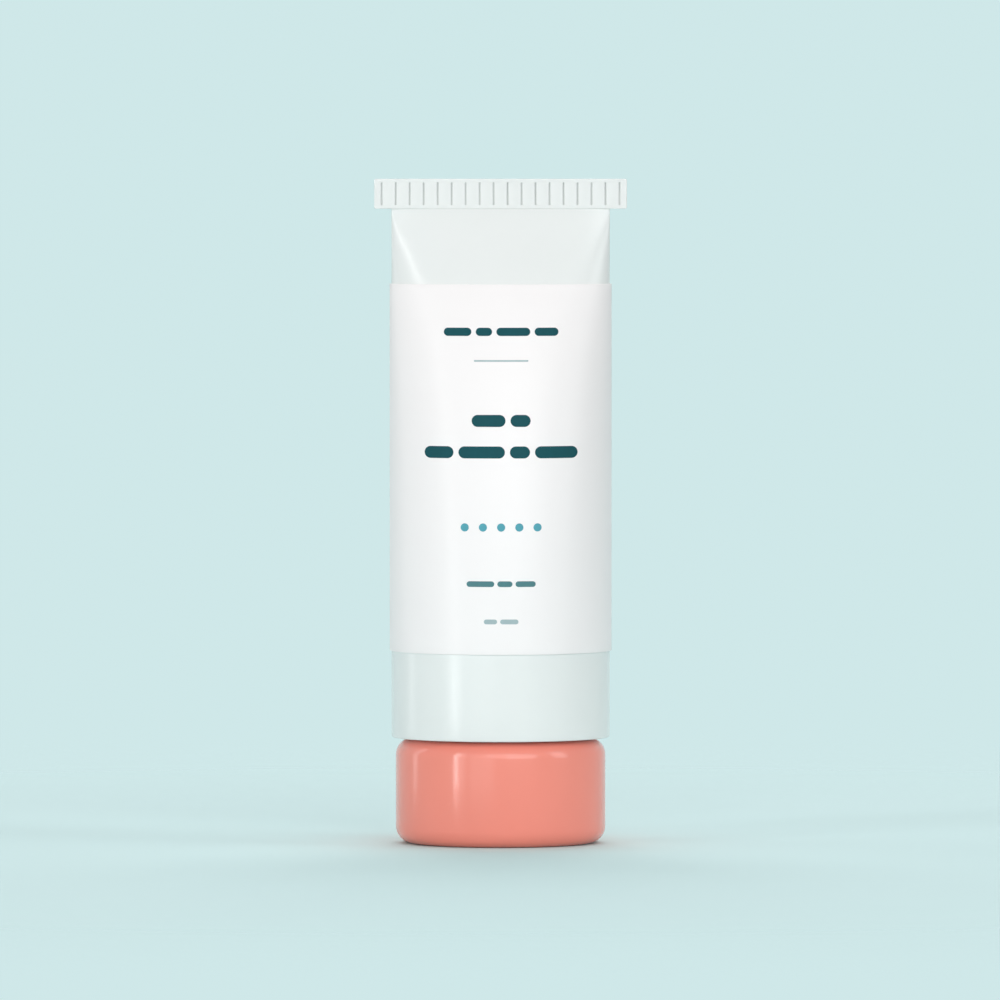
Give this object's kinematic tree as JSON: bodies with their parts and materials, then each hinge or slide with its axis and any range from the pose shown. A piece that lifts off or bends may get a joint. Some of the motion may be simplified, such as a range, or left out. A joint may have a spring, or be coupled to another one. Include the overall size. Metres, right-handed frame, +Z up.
{
  "type": "toothpaste tube",
  "caption": "Squeezable plastic tube with a flat crimped end and wrap label, filled with paste, standing on its coral screw cap.",
  "frame": {"origin": "centre of the cap's standing face, on the tube's axis", "axes": "+Z up along the tube's axis from the cap to the crimped end; +X along the crimp's width, to the right seen from the front; +Y to the back, where the label's seam is"},
  "size_m": [0.0406, 0.0356, 0.1065],
  "materials": {
    "cap_plastic": "coral moulded plastic, glossy",
    "seal_foil": "thin lacquered foil",
    "head_plastic": "white moulded plastic, satin",
    "sleeve_film": "milky pale mint extruded film, glossy, slightly translucent",
    "label_film": "white film label, satin, with dark teal and sea-blue print in plain shapes",
    "paste": "smooth pale mint paste"
  },
  "bodies": {
    "cap": {"screw_cap": "cap_plastic"},
    "seal": {"foil_seal": "seal_foil"},
    "tube": {"tube_head": "head_plastic", "tube_sleeve": "sleeve_film", "wrap_label": "label_film", "toothpaste": "paste"}
  },
  "joints": [
    {"name": "tube_lift", "type": "slide", "parent": "cap", "child": "seal", "axis": [0, 0, 1], "range_m": [0, 0.018]},
    {"name": "tube_turn", "type": "hinge", "parent": "seal", "child": "tube", "pos_m": [0, 0, 0], "axis": [0, 0, 1], "range_deg": [0, 1080]}
  ],
  "couplings": [
    {"joint": "tube_lift", "follows": "tube_turn", "m_per_rad": 0.00095493}
  ]
}
